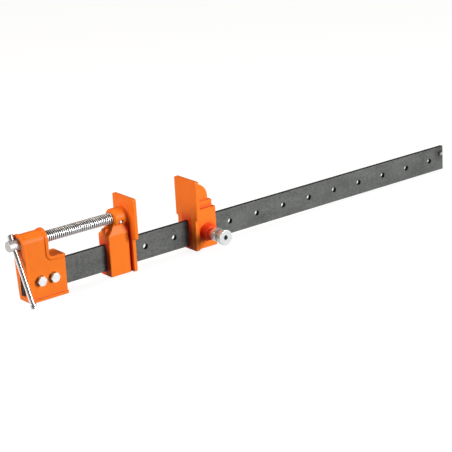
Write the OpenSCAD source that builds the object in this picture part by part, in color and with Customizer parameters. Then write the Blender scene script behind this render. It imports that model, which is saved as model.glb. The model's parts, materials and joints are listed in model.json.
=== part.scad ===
// Quick release bar clamp: a screw head bolted to a drilled flat bar, a moving jaw on the screw,
// and a tail jaw that slides along the bar and locks in its index holes with a spring plunger.
// X runs along the bar from the head to the tail, Z is up, and Y = 0 is the middle of the bar.
// The origin is the centre of the head's foot. All sizes are in millimetres.

/* [Bar] */
// Height of the flat bar, which stands on edge
bar_h = 38.1; // [32:0.1:44]
// Thickness of the flat bar
bar_t = 6.35; // [5:0.05:8]
// Diameter of the index holes
hole_d = 8; // [7.8:0.1:10]
// Distance from one index hole to the next
hole_pitch = 50.8; // [45:0.1:60]
// Number of index holes
hole_count = 12; // [4:1:16]
// Length of bar past the last index hole
bar_tail_l = 30.2; // [26:0.1:60]
// Length of bar that stands out behind the head
bar_poke_l = 3.3; // [1:0.1:5.5]
// Diameter of the stop pin near the bar's free end
stop_d = 6; // [4:0.1:7]
// How far the stop pin stands out on each side of the bar
stop_out_l = 4; // [2:0.1:6]
// Distance from the stop pin's axis to the bar's free end
stop_inset = 6.5; // [5:0.1:10]
// Height of the stop pin's axis over the bar's middle line
stop_rise = 8; // [0:0.1:12]

/* [Head] */
// Length of the head's foot
head_l = 61.5; // [58:0.1:75]
// Width of the head's body
head_w = 26; // [24:0.1:32]
// Width of the head's foot flange
foot_w = 30; // [26:0.1:40]
// Height of the head's foot flange
foot_h = 4.2; // [2:0.1:6]
// How far the foot flange stands out past the body, towards the jaws
foot_toe = 1; // [0.2:0.1:3]
// Radius of the foot flange's corners
foot_r = 2; // [1:0.1:6]
// Thickness of metal under the bar in the head
head_web_t = 9.5; // [8:0.1:14]
// How far the head's rear face leans back from the foot to the top
head_lean = 5; // [0:0.1:8]
// Length of the tower that holds the screw, measured at the foot
tower_l = 35.6; // [30:0.1:42]
// Height of the shelf in front of the tower, over the bar's top edge
shelf_rise = 10.5; // [6:0.1:14]
// Width of the raised rim along the tower and the shelf
rim_w = 5; // [3:0.1:7]
// How far that rim stands proud of the head's side
rim_out = 1.4; // [0.3:0.1:2]
// Width of the thin lip along the head's rear edge
lip_w = 4; // [2:0.1:6]
// How far that lip stands proud of the head's side
lip_out = 1.2; // [0.2:0.1:1.4]
// Radius of the inner corner between the tower and the shelf
tower_fillet_r = 5; // [2:0.1:8]
// Diameter of the round recess at the mouth of the screw's bore
recess_d = 18.5; // [17.4:0.1:21]
// Depth of that recess
recess_l = 3; // [1:0.1:5]

/* [Head bolts] */
// Diameter of the bolts
bolt_d = 7.94; // [6:0.01:9]
// Place of the rear bolt, as a share of the foot's length from its rear end
bolt_rear_share = 0.313; // [0.3:0.001:0.34]
// Place of the front bolt, as a share of the foot's length from its rear end
bolt_front_share = 0.6545; // [0.62:0.0005:0.68]
// Width of the bolt head and of the nut across their flats
bolt_af = 12.7; // [11:0.1:14]
// Height of the bolt head
bolt_head_h = 5.4; // [3:0.1:7]
// Height of the nut
nut_h = 6.8; // [4:0.1:9]
// Thickness of the split washer
washer_t = 2; // [1:0.1:3]
// Outer diameter of the split washer
washer_d = 13.2; // [12:0.1:16]
// Width of the slit in the split washer
washer_slit = 1.2; // [0.5:0.1:2]
// Length of bolt that stands out past the nut
bolt_end_l = 2; // [0.5:0.1:5]

/* [Screw] */
// Outer diameter of the screw's thread
screw_d = 15.88; // [15:0.01:17]
// Pitch of the screw's thread
screw_pitch = 3.175; // [2:0.005:5]
// Height of the screw's axis over the bar's top edge
screw_rise = 35.3; // [32:0.1:42]
// Diameter of the screw's plain head
screw_head_d = 14.5; // [13.5:0.1:15.5]
// Length of the screw's plain head
screw_head_l = 14; // [13:0.1:18]
// Length of the cone between the screw's plain head and its thread
screw_cone_l = 0.7; // [0.3:0.1:2]
// Gap between the screw's plain head and the head casting, with the screw all the way in
screw_head_gap = 1.4; // [0.5:0.1:3]

/* [Tommy bar] */
// Diameter of the tommy bar's rod
tommy_d = 7; // [5:0.1:8]
// Length of the tommy bar over both of its caps
tommy_l = 104.4; // [80:0.1:105]
// Outer diameter of a cap
cap_d = 9.5; // [9.2:0.1:11]
// Length of a cap
cap_l = 7.5; // [5:0.1:8.5]
// Thickness of a cap's closed end
cap_end_t = 2; // [1:0.1:3]
// Distance from the outer end of the screw's head to the tommy bar's axis
tommy_inset = 8.7; // [6:0.1:9]
// Tilt of the tommy bar from upright as it rests
tommy_tilt = 26.7; // [0:0.1:30]

/* [Moving jaw] */
// Distance from the head foot's middle to the moving jaw's face, with the screw all the way in
jaw_x = 143.75; // [130:0.05:180]
// Width of the clamping plate
jaw_face_w = 50; // [44:0.1:60]
// Height of the clamping plate's top over the bar's top edge
jaw_rise = 61.9; // [56:0.1:75]
// Height of the step where the clamping plate narrows, over the bar's top edge
jaw_step_rise = 2.9; // [1:0.1:8]
// Width of the narrow lower part of the plate
jaw_foot_w = 35; // [30:0.1:40]
// Thickness of the clamping plate
jaw_plate_t = 5.6; // [4:0.1:8]
// Thickness of metal under the bar in the moving jaw
jaw_web_t = 7.5; // [5:0.1:7.9]
// Length of the moving jaw's sleeve along the bar
jaw_body_l = 33.2; // [30:0.1:40]
// Width of the moving jaw's sleeve
jaw_body_w = 25.8; // [22:0.1:29]
// Height of the sleeve's top over the bar's top edge
jaw_body_rise = 13.9; // [11:0.1:16]
// Length of the groove between the sleeve and the plate
jaw_groove_l = 2.6; // [1:0.1:4]
// Width of the metal left inside that groove
jaw_groove_w = 20; // [16:0.1:21]
// Width of the neck under the screw boss
neck_w = 18; // [14:0.1:20]
// Height of the neck's narrowest level over the bar's top edge
neck_rise = 24.2; // [20:0.1:27]
// Height of the bend in the neck's rear face over the bar's top edge
neck_bend_rise = 18.4; // [17:0.1:20]
// Distance from that bend forward to the rear end of the screw boss
neck_bend_l = 7.6; // [5:0.1:8]
// Radius of the bend
neck_bend_r = 24; // [4:0.1:25]
// Height over the bar's top edge at which the neck's rear face meets the screw boss
neck_meet_rise = 28.4; // [26:0.1:30]
// Radius of the hollow curve between the sleeve's top and the neck's sides
neck_corner_r = 4.5; // [1:0.1:6]
// Diameter of the screw boss
jaw_boss_d = 26; // [22:0.1:28]
// Length of the screw boss behind the plate
jaw_boss_l = 22.9; // [20:0.1:26]
// Radius of the rounded rear edge of the screw boss
jaw_boss_r = 2.5; // [1:0.1:4]
// Radius of the flare between the screw boss and the plate
jaw_flare_r = 3.5; // [1:0.1:5]
// Depth of the socket that takes the screw's end
socket_l = 21; // [18:0.1:24]
// Width of the rib behind the neck
jaw_rib_w = 9; // [6:0.1:12]
// Height of that rib over the bar's top edge
jaw_rib_rise = 22.4; // [17:0.1:25]
// Diameter of the cross pin that holds the screw in its socket
cross_pin_d = 4.5; // [3:0.1:5]
// Distance from the moving jaw's face back to the cross pin
cross_pin_back = 18; // [15:0.1:20]
// Distance of the cross pin's axis below the screw's axis
cross_pin_drop = 5.6; // [4.5:0.1:6.5]
// How deep the cross pin's ends lie under the boss's side
cross_pin_sink = 0.5; // [0.1:0.1:1]
// Diameter of the mouth of the cross pin's hole
cross_mouth_d = 6.6; // [5.6:0.1:7.5]
// Depth of that mouth
cross_mouth_l = 1.2; // [0.5:0.1:2]

/* [Tail jaw] */
// Number of the index hole that the tail jaw stands at, counted from 0
tail_hole = 2; // [1:1:3]
// Distance from the tail jaw's face to the index pin's axis
tail_reach = 25.1; // [23:0.1:30]
// Width of the clamping plate
tail_face_w = 49.6; // [44:0.1:60]
// Height of the clamping plate's top over the bar's top edge
tail_rise = 61.4; // [56:0.1:75]
// Height of the step where the clamping plate narrows, over the bar's top edge
tail_step_rise = 3.9; // [1:0.1:8]
// Width of the narrow lower part of the plate
tail_foot_w = 41.6; // [36:0.1:46]
// Thickness of the clamping plate
tail_plate_t = 6.7; // [4:0.1:8]
// Thickness of metal under the bar in the tail jaw
tail_web_t = 4.8; // [4:0.1:7.9]
// Length of the tail jaw's sleeve behind the plate
tail_body_l = 34.1; // [33.5:0.1:38]
// Width of the tail jaw's sleeve
tail_body_w = 31; // [28:0.1:35]
// Height of the sleeve's top over the bar's top edge
tail_body_rise = 15.9; // [12:0.1:20]
// Length of the middle block behind the plate
tail_mid_l = 32.1; // [29.5:0.1:33]
// Width of the middle block
tail_mid_w = 20; // [15:0.1:26]
// Height of the middle block's top over the bar's top edge
tail_mid_rise = 25.7; // [21:0.1:30]
// Length of the upper rib behind the plate
tail_rib_l = 27.8; // [24:0.1:29]
// Width of the upper rib
tail_rib_w = 13; // [8:0.1:14]
// Height of the upper rib's top over the bar's top edge
tail_rib_rise = 51.4; // [48:0.1:55]
// Radius of the upper rib's round back
tail_rib_r = 20.5; // [10:0.1:21]
// Diameter of the plunger boss where it leaves the sleeve
pin_boss_d = 27.4; // [25:0.1:30]
// Diameter of the plunger boss at its shoulder
pin_shoulder_d = 21; // [19:0.1:24]
// Radius of the rounded shoulder of the plunger boss
pin_shoulder_r = 2.2; // [0.5:0.1:2.4]
// Length of the plunger boss up to its shoulder
pin_boss_l = 11.3; // [10:0.1:14]
// Diameter of the spigot past the shoulder, which goes into the knob
spigot_d = 16; // [15.4:0.1:16.2]
// Diameter of the spring chamber
chamber_d = 12.4; // [11.9:0.1:13]
// Length of the bore that guides the index pin next to the bar
guide_l = 5; // [3:0.1:6]

/* [Plunger] */
// Diameter of the index pin
pin_d = 7.5; // [7:0.1:7.7]
// Diameter of the index pin's stem
stem_d = 6; // [5:0.1:6.4]
// How far the drawn pin's tip stays back behind the slot's side
pin_clear = 0.4; // [0.2:0.1:0.8]
// How far the engaged pin's tip stays back behind the bar's far side
pin_short = 0.85; // [0.3:0.05:1.5]
// Chamfer of the index pin's tip
pin_tip_c = 1; // [0.3:0.1:2]
// Length of thick pin past its clip
pin_land_l = 1.5; // [0.5:0.1:2]
// Outer diameter of the pin's clip
clip_d = 11.4; // [10.5:0.1:11.6]
// Thickness of the pin's clip
clip_t = 1.2; // [0.8:0.1:1.5]
// Width of the opening in the clip
clip_gap = 4; // [3:0.1:5]
// Outer diameter of the spring
spring_d = 11.2; // [10.6:0.1:11.6]
// Diameter of the spring's wire
spring_wire = 1; // [0.6:0.1:1.3]
// Length of the bush that closes the spring chamber
bush_l = 4; // [3:0.1:4.4]

/* [Knob] */
// Diameter of the knob's front flange
knob_d = 22.6; // [20:0.1:28]
// Diameter of the knob's rear rim
knob_rim_d = 20; // [18:0.1:24]
// Diameter of the knob's waist
knob_waist_d = 16.6; // [12:0.1:17.5]
// Diameter of the knob's hollow, which takes the spigot
knob_hollow_d = 16.8; // [16.6:0.1:17.4]
// How far the knob laps over the spigot when the pin is drawn
knob_lap = 0.5; // [0.2:0.1:0.9]
// Length of the knob
knob_l = 24; // [22:0.1:28]
// Thickness of metal between the knob's hollow and its waist
knob_floor_t = 1.4; // [1:0.1:2.5]
// Length of the knob's front flange
knob_flange_l = 7; // [4:0.1:8]
// Radius of the rear rim's rounding
knob_rim_r = 1.2; // [0.3:0.1:1.4]
// Radius of the front flange's rounding
knob_flange_r = 0.8; // [0.3:0.1:2]
// Free depth of the hole in the knob's face, in front of the stem's end
knob_hole_l = 4; // [1:0.1:8]

/* [Gaps] */
// Gap on each side of the bar in a sliding jaw
slide_side_gap = 0.4; // [0.3:0.05:0.6]
// Gap over the bar in a sliding jaw
slide_top_gap = 0.3; // [0.2:0.05:0.5]
// Gap under the bar in a sliding jaw
slide_under_gap = 0.5; // [0.3:0.05:0.8]
// Gap on each side of the bar in the head, which is bolted to it
head_slot_gap = 0.05; // [0.02:0.01:0.1]
// Radial gap of a piece that turns or slides in its bore
running_gap = 0.08; // [0.05:0.01:0.1]
// Radial gap of a piece that stays in its bore
fit_gap = 0.03; // [0.02:0.01:0.05]
// Radial gap round the bolts in the head and the bar
bolt_gap = 0.15; // [0.1:0.05:0.3]
// Gap between faces that meet at the end of a travel
seat_gap = 0.3; // [0.2:0.05:0.4]
// Gap between the two jaws when they are closed on the first hole
closed_gap = 0.4; // [0.3:0.1:1]

/* [Corners] */
// Radius of the corners of the clamping plates
plate_r = 2; // [0.5:0.1:3]
// Radius of the small corners of the castings
edge_r = 1.5; // [0.5:0.1:2]
// Chamfer on turned pieces
turned_c = 1; // [0.3:0.1:1.2]
// Chamfer on small turned pieces
fine_c = 0.5; // [0.2:0.1:0.8]

/* [Hidden] */
$fn = 48;

// Steps in each rounded corner of an outline
round_steps = 6;
// Overrun of every cut, and the overlap of blocks that are joined
over = 1;
// Sides of a bolt head and of a nut
hex_sides = 6;

// Form of the trapezoid thread, as shares of its pitch, and the angle of its flanks
crest_share = 0.3707;
depth_share = 0.5;
flank_angle = 14.5;

// Levels of the bar, the screw and the head
bar_z0 = head_web_t;
bar_top = bar_z0 + bar_h;
bar_mid = bar_z0 + bar_h / 2;
screw_z = bar_top + screw_rise;
shelf_z = bar_top + shelf_rise;
head_top = screw_z + head_w / 2;

// Places of the head's faces along the bar
head_x0 = -head_l / 2;
head_x1 = head_l / 2;
body_x1 = head_x1 - foot_toe;
tower_x1 = head_x0 + tower_l;
lip_z = foot_h;
rear_x = head_x0 - head_lean * screw_z / (head_top + rim_out);
lip_x = head_x0 - head_lean * lip_z / (head_top + rim_out);

// Places of the bar's ends and holes
first_hole_x = jaw_x + closed_gap + tail_reach;
last_hole_x = first_hole_x + (hole_count - 1) * hole_pitch;
bar_x0 = head_x0 - bar_poke_l;
bar_x1 = last_hole_x + bar_tail_l;
bolt_xs = [head_x0 + bolt_rear_share * head_l, head_x0 + bolt_front_share * head_l];

// Places of the moving jaw's faces along the bar
jaw_plate_x = jaw_x - jaw_plate_t;
jaw_body_x1 = jaw_plate_x - jaw_groove_l;
jaw_body_x0 = jaw_body_x1 - jaw_body_l;
jaw_boss_x = jaw_plate_x - jaw_boss_l;
cross_pin_x = jaw_x - cross_pin_back;
cross_pin_z = screw_z - cross_pin_drop;
cross_side = sqrt(pow(jaw_boss_d / 2, 2) - pow(cross_pin_drop, 2));
jaw_travel = jaw_body_x0 - head_x1 - seat_gap;

// Places along the screw
screw_x0 = rear_x - screw_head_gap - screw_head_l;
screw_x1 = jaw_boss_x + socket_l - seat_gap;
thread_depth = depth_share * screw_pitch;
thread_flank = thread_depth * tan(flank_angle);
thread_crest = crest_share * screw_pitch;
thread_root = screw_pitch - thread_crest - 2 * thread_flank;
thread_x0 = screw_x0 + screw_head_l + screw_cone_l;
cross_groove_l = cross_pin_d + 2 * seat_gap;
cross_groove_r = cross_pin_drop - cross_pin_d / 2 - seat_gap / 2;
thread_l = cross_pin_x - cross_groove_l / 2 - screw_pitch - thread_x0;
thread_turns = floor(thread_l / screw_pitch);
tommy_x = screw_x0 + tommy_inset;
tommy_top = screw_head_d / 2 + seat_gap + cap_l;
tommy_travel = tommy_l - 2 * cap_l - screw_head_d - 2 * seat_gap;

// Places of the tail jaw along the bar
tail_pin_x = first_hole_x + tail_hole * hole_pitch;
tail_x = tail_pin_x - tail_reach;
tail_body_x = tail_x + tail_plate_t;

// Depths along the index pin's axis, measured from the bar's middle towards the knob
slot_half = bar_t / 2 + slide_side_gap;
chamber_s = slot_half + guide_l;
shoulder_s = tail_body_w / 2 + pin_boss_l;
pin_stroke = pin_clear + slot_half + bar_t / 2 - pin_short;
nose_s = shoulder_s + seat_gap + pin_stroke + knob_lap;
bush_s = nose_s - bush_l;
pin_tip_s = slot_half + pin_clear;
clip_s = chamber_s + fit_gap + pin_stroke;
stem_s = clip_s + clip_t + pin_land_l;
knob_s = nose_s - knob_lap;
hollow_s = nose_s + seat_gap + pin_stroke;
rim_s = hollow_s + knob_floor_t;
waist_s = knob_s + knob_l - knob_flange_l - knob_d / 2 + knob_waist_d / 2;
stem_end_s = knob_s + knob_l - knob_hole_l;
spring_s = clip_s + clip_t + fit_gap;
spring_l = bush_s - fit_gap - spring_s;

echo(bar_x0 = bar_x0, bar_x1 = bar_x1, first_hole_x = first_hole_x, last_hole_x = last_hole_x);
echo(bar_mid = bar_mid, bar_top = bar_top, screw_z = screw_z, head_top = head_top);
echo(jaw_travel = jaw_travel, tommy_x = tommy_x, tommy_travel = tommy_travel, bolt_xs = bolt_xs);
echo(tail_x = tail_x, tail_pin_x = tail_pin_x, pin_stroke = pin_stroke, spring_s = spring_s, spring_l = spring_l);

// Unit vector along v
function unit(v) = v / norm(v);
// Shorter way round from angle a to angle b
function turn(a, b) = b - a > 180 ? b - a - 360 : b - a < -180 ? b - a + 360 : b - a;
// Point on a circle
function on_circle(c, r, a) = c + r * [cos(a), sin(a)];
// Direction from c to p
function bearing(c, p) = atan2(p.y - c.y, p.x - c.x);
// Arc that rounds the corner at p, between its neighbours a and b, with radius r
function corner_arc(p, u, v, half, r) =
    let (c = p + unit(u + v) * r / sin(half))
    let (a0 = bearing(c, p + u * r / tan(half)))
    let (sweep = turn(a0, bearing(c, p + v * r / tan(half))))
    [for (i = [0:round_steps]) on_circle(c, r, a0 + sweep * i / round_steps)];
function corner(p, a, b, r) =
    r == 0 ? [p] : corner_arc(p, unit(a - p), unit(b - p), acos(unit(a - p) * unit(b - p)) / 2, r);
// First two values of a point
function flat(p) = [p[0], p[1]];
// Outline from points [x, y, corner radius]
function outline(pts) =
    let (n = len(pts))
    [for (i = [0:n - 1])
        each corner(flat(pts[i]), flat(pts[(i + n - 1) % n]), flat(pts[(i + 1) % n]), pts[i][2])];

// Outline in X and Z, extruded over width w about the middle of the bar
module side(pts, w) {
    rotate([90, 0, 0])
        linear_extrude(w, center = true)
            polygon(outline(pts));
}
// Outline in Y and Z, extruded along X from x0 over length l
module front(pts, x0, l) {
    translate([x0, 0, 0])
        rotate([90, 0, 90])
            linear_extrude(l)
                polygon(outline(pts));
}
// Block between two places in X and two levels in Z, w wide about the middle of the bar
module block(x0, x1, w, z0, z1) {
    translate([x0, -w / 2, z0])
        cube([x1 - x0, w, z1 - z0]);
}
// Round bar along X
module round_x(d, x0, l, z) {
    translate([x0, 0, z])
        rotate([0, 90, 0])
            cylinder(d = d, h = l);
}
// Round bar along Y at place x and level z, from depth s0 to s1 towards the knob
module round_s(d, s0, s1, x, z) {
    translate([x, -s0, z])
        rotate([90, 0, 0])
            cylinder(d = d, h = s1 - s0);
}
// Turned piece along Y at place x and level z, from points [radius, depth, corner radius]
module turned_s(pts, x, z) {
    translate([x, 0, z])
        rotate([90, 0, 0])
            rotate_extrude()
                polygon(outline(pts));
}
// Hexagon along Y from depth s0 to s1
module hex_s(af, s0, s1, x, z) {
    translate([x, -s0, z])
        rotate([90, 0, 0])
            cylinder(d = af / cos(180 / hex_sides), h = s1 - s0, $fn = hex_sides);
}
// Space under a round top about the screw's axis, which trims the tower
module arch(w) {
    block(head_x0 - head_lean - over, body_x1 + over, w, -over, screw_z);
    round_x(w, head_x0 - head_lean - over, head_l + head_lean + 2 * over, screw_z);
}
// Space for the bar, with its own gaps
module bar_slot(side_gap, top_gap, under_gap, x0, x1) {
    block(x0, x1, bar_t + 2 * side_gap, bar_z0 - under_gap, bar_top + top_gap);
}
// T-shaped outline of a clamping plate with its narrow lower part
function plate_outline(w_top, w_foot, z0, z_step, z_top) = [
    [-w_foot / 2, z0, plate_r],
    [w_foot / 2, z0, plate_r],
    [w_foot / 2, z_step, 0],
    [w_top / 2, z_step, plate_r],
    [w_top / 2, z_top, plate_r],
    [-w_top / 2, z_top, plate_r],
    [-w_top / 2, z_step, plate_r],
    [-w_foot / 2, z_step, 0]
];

// Flat bar with index holes, bolt holes and the hole of the stop pin
module bar() {
    color("dimgray")
    difference() {
        block(bar_x0, bar_x1, bar_t, bar_z0, bar_top);
        for (i = [0:hole_count - 1])
            round_s(hole_d, -bar_t, bar_t, first_hole_x + i * hole_pitch, bar_mid);
        for (x = bolt_xs)
            round_s(bolt_d + 2 * bolt_gap, -bar_t, bar_t, x, bar_mid);
        round_s(stop_d + 2 * fit_gap, -bar_t, bar_t, bar_x1 - stop_inset, bar_mid + stop_rise);
    }
}

// Stop pin that keeps the tail jaw on the bar
module bar_stop_pin() {
    half = bar_t / 2 + stop_out_l;
    color("silver")
    turned_s([
        [0, -half, 0],
        [stop_d / 2, -half, turned_c],
        [stop_d / 2, half, turned_c],
        [0, half, 0]
    ], bar_x1 - stop_inset, bar_mid + stop_rise);
}

// Outline of the head's body seen from the side
function head_outline() = [
    [head_x0, 0, 0],
    [body_x1, 0, 0],
    [body_x1, shelf_z, edge_r],
    [tower_x1, shelf_z, tower_fillet_r],
    [tower_x1, head_top + rim_out, 0],
    [head_x0 - head_lean, head_top + rim_out, 0]
];
// Outline of the raised rim along the tower and the shelf
function rim_outline() = [
    [tower_x1 - rim_w, shelf_z - rim_w, tower_fillet_r + rim_w],
    [body_x1, shelf_z - rim_w, 0],
    [body_x1, shelf_z, edge_r],
    [tower_x1, shelf_z, tower_fillet_r],
    [tower_x1, head_top + rim_out, 0],
    [tower_x1 - rim_w, head_top + rim_out, 0]
];

// Outline of the thin lip along the head's rear edge, which follows the leaning face
function lip_outline() = [
    [lip_x, lip_z, 0],
    [lip_x + lip_w, lip_z, 0],
    [head_x0 - head_lean + lip_w, head_top + rim_out, 0],
    [head_x0 - head_lean, head_top + rim_out, 0]
];

// Cast head: foot, body, tower with a round top, the raised rim and the thin lip
module head_casting() {
    color("darkorange")
    difference() {
        union() {
            intersection() {
                side(head_outline(), head_w);
                arch(head_w);
            }
            intersection() {
                side(rim_outline(), head_w + 2 * rim_out);
                arch(head_w + 2 * rim_out);
            }
            intersection() {
                side(lip_outline(), head_w + 2 * lip_out);
                arch(head_w + 2 * lip_out);
            }
            linear_extrude(foot_h)
                polygon(outline([
                    [head_x0, -foot_w / 2, foot_r],
                    [head_x1, -foot_w / 2, foot_r],
                    [head_x1, foot_w / 2, foot_r],
                    [head_x0, foot_w / 2, foot_r]
                ]));
        }
        bar_slot(head_slot_gap, head_slot_gap, head_slot_gap, head_x0 - head_lean - over, head_x1 + over);
        round_x(screw_d + 2 * running_gap, head_x0 - head_lean - over, tower_l + head_lean + 2 * over, screw_z);
        round_x(recess_d, rear_x - head_l, head_l + recess_l, screw_z);
        for (x = bolt_xs)
            round_s(bolt_d + 2 * bolt_gap, -head_w, head_w, x, bar_mid);
    }
}

// Hex bolt with its head on the front of the head casting
module head_bolt(x) {
    color("silver")
    union() {
        hex_s(bolt_af, head_w / 2, head_w / 2 + bolt_head_h, x, bar_mid);
        round_s(bolt_d, -head_w / 2 - washer_t - nut_h - bolt_end_l, head_w / 2 + bolt_head_h / 2, x, bar_mid);
    }
}
// Split washer against the back of the head casting
module head_washer(x) {
    color("silver")
    difference() {
        round_s(washer_d, -head_w / 2 - washer_t, -head_w / 2, x, bar_mid);
        round_s(bolt_d + 2 * bolt_gap, -head_w, 0, x, bar_mid);
        translate([x, head_w / 2 - over, bar_mid - washer_slit / 2])
            cube([washer_d, washer_t + 2 * over, washer_slit]);
    }
}
// Hex nut on the split washer
module head_nut(x) {
    color("silver")
    difference() {
        hex_s(bolt_af, -head_w / 2 - washer_t - nut_h, -head_w / 2 - washer_t, x, bar_mid);
        round_s(bolt_d + 2 * fit_gap, -head_w, 0, x, bar_mid);
    }
}
module head_bolt_left() { head_bolt(bolt_xs[0]); }
module head_bolt_right() { head_bolt(bolt_xs[1]); }
module head_washer_left() { head_washer(bolt_xs[0]); }
module head_washer_right() { head_washer(bolt_xs[1]); }
module head_nut_left() { head_nut(bolt_xs[0]); }
module head_nut_right() { head_nut(bolt_xs[1]); }

// Section of one turn of thread, as a groove that starts at place x
function thread_groove(x) = [
    [screw_d / 2, x],
    [screw_d / 2 - thread_depth, x + thread_flank],
    [screw_d / 2 - thread_depth, x + thread_flank + thread_root],
    [screw_d / 2, x + 2 * thread_flank + thread_root]
];
// Half section of the screw: radius and place along X
function screw_section() = [
    [0, screw_x0],
    [screw_head_d / 2 - turned_c, screw_x0],
    [screw_head_d / 2, screw_x0 + turned_c],
    [screw_head_d / 2, screw_x0 + screw_head_l],
    [screw_d / 2, thread_x0],
    for (i = [0:thread_turns - 1])
        each thread_groove(thread_x0 + thread_crest / 2 + i * screw_pitch),
    [screw_d / 2, cross_pin_x - cross_groove_l / 2],
    [cross_groove_r, cross_pin_x - cross_groove_l / 2],
    [cross_groove_r, cross_pin_x + cross_groove_l / 2],
    [screw_d / 2, cross_pin_x + cross_groove_l / 2],
    [screw_d / 2, screw_x1 - turned_c],
    [screw_d / 2 - turned_c, screw_x1],
    [0, screw_x1]
];

// Clamp screw with a plain drilled head, thread and a groove for the cross pin
module spindle() {
    color("silver")
    difference() {
        translate([0, 0, screw_z])
            rotate([0, 90, 0])
                rotate_extrude()
                    polygon(screw_section());
        tommy_frame()
            translate([0, 0, -screw_head_d])
                cylinder(d = tommy_d + 2 * running_gap, h = 2 * screw_head_d);
    }
}

// Frame of the tommy bar: its local Z runs up along the rod from the screw's axis
module tommy_frame() {
    translate([tommy_x, 0, screw_z])
        rotate([-tommy_tilt, 0, 0])
            children();
}
module tommy_bar() {
    color("silver")
    tommy_frame()
        translate([0, 0, tommy_top - tommy_l + cap_end_t])
            cylinder(d = tommy_d, h = tommy_l - 2 * cap_end_t);
}
// Cap with a blind bore for the rod's end, closed at local Z = 0 and open at cap_l
module tommy_cap() {
    difference() {
        rotate_extrude()
            polygon(outline([
                [0, 0, 0],
                [cap_d / 2, 0, turned_c],
                [cap_d / 2, cap_l, fine_c],
                [0, cap_l, 0]
            ]));
        translate([0, 0, cap_end_t - fit_gap])
            cylinder(d = tommy_d + 2 * fit_gap, h = cap_l);
    }
}
module tommy_cap_upper() {
    color("silver")
    tommy_frame()
        translate([0, 0, tommy_top])
            rotate([180, 0, 0])
                tommy_cap();
}
module tommy_cap_lower() {
    color("silver")
    tommy_frame()
        translate([0, 0, tommy_top - tommy_l])
            tommy_cap();
}

// Outline of the neck under the screw boss, seen from the side
function neck_side() = [
    [jaw_body_x0, bar_top + jaw_body_rise - over, 0],
    [jaw_body_x1, bar_top + jaw_body_rise - over, 0],
    [jaw_body_x1, screw_z, 0],
    [jaw_boss_x, screw_z, 0],
    [jaw_boss_x, bar_top + neck_meet_rise, 0],
    [jaw_boss_x - neck_bend_l, bar_top + neck_bend_rise, neck_bend_r],
    [jaw_body_x0, bar_top + jaw_body_rise, 0]
];
// Outline of the neck seen from the front
function neck_front() = [
    [-jaw_body_w / 2, bar_top + jaw_body_rise - over, 0],
    [jaw_body_w / 2, bar_top + jaw_body_rise - over, 0],
    [jaw_body_w / 2, bar_top + jaw_body_rise, 0],
    [neck_w / 2, bar_top + neck_rise, neck_corner_r],
    [neck_w / 2, screw_z, 0],
    [-neck_w / 2, screw_z, 0],
    [-neck_w / 2, bar_top + neck_rise, neck_corner_r],
    [-jaw_body_w / 2, bar_top + jaw_body_rise, 0]
];

// Moving jaw: clamping plate, sleeve round the bar, neck, rib and screw boss
module moving_jaw() {
    z0 = bar_z0 - jaw_web_t;
    body_top = bar_top + jaw_body_rise;
    color("darkorange")
    difference() {
        union() {
            front(plate_outline(jaw_face_w, jaw_foot_w, z0, bar_top + jaw_step_rise, bar_top + jaw_rise),
                jaw_plate_x, jaw_plate_t);
            block(jaw_body_x0, jaw_body_x1, jaw_body_w, z0, body_top);
            block(jaw_body_x1 - over, jaw_plate_x + over, jaw_groove_w, z0, body_top);
            intersection() {
                side(neck_side(), jaw_body_w);
                front(neck_front(), jaw_body_x0, jaw_body_l);
            }
            block(jaw_body_x1 - over, jaw_plate_x + over, neck_w, body_top - over, screw_z);
            block(jaw_body_x0, jaw_boss_x + over, jaw_rib_w, body_top - over, bar_top + jaw_rib_rise);
            translate([jaw_boss_x, 0, screw_z])
                rotate([0, 90, 0])
                    rotate_extrude()
                        polygon(outline([
                            [0, 0, 0],
                            [jaw_boss_d / 2, 0, jaw_boss_r],
                            [jaw_boss_d / 2, jaw_boss_l, jaw_flare_r],
                            [jaw_boss_d / 2 + jaw_flare_r, jaw_boss_l, 0],
                            [jaw_boss_d / 2 + jaw_flare_r, jaw_boss_l + over, 0],
                            [0, jaw_boss_l + over, 0]
                        ]));
        }
        bar_slot(slide_side_gap, slide_top_gap, slide_under_gap, jaw_body_x0 - over, jaw_x + over);
        round_x(screw_d + 2 * running_gap, jaw_boss_x - jaw_body_l, jaw_body_l + socket_l, screw_z);
        round_s(cross_pin_d + 2 * fit_gap, -jaw_boss_d, jaw_boss_d, cross_pin_x, cross_pin_z);
        for (s = [-cross_side - over, cross_side - cross_mouth_l])
            round_s(cross_mouth_d, s, s + cross_mouth_l + over, cross_pin_x, cross_pin_z);
    }
}

// Cross pin that holds the screw's end in the moving jaw
module cross_pin() {
    half = cross_side - cross_pin_sink;
    color("silver")
    turned_s([
        [0, -half, 0],
        [cross_pin_d / 2, -half, fine_c],
        [cross_pin_d / 2, half, fine_c],
        [0, half, 0]
    ], cross_pin_x, cross_pin_z);
}

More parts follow.
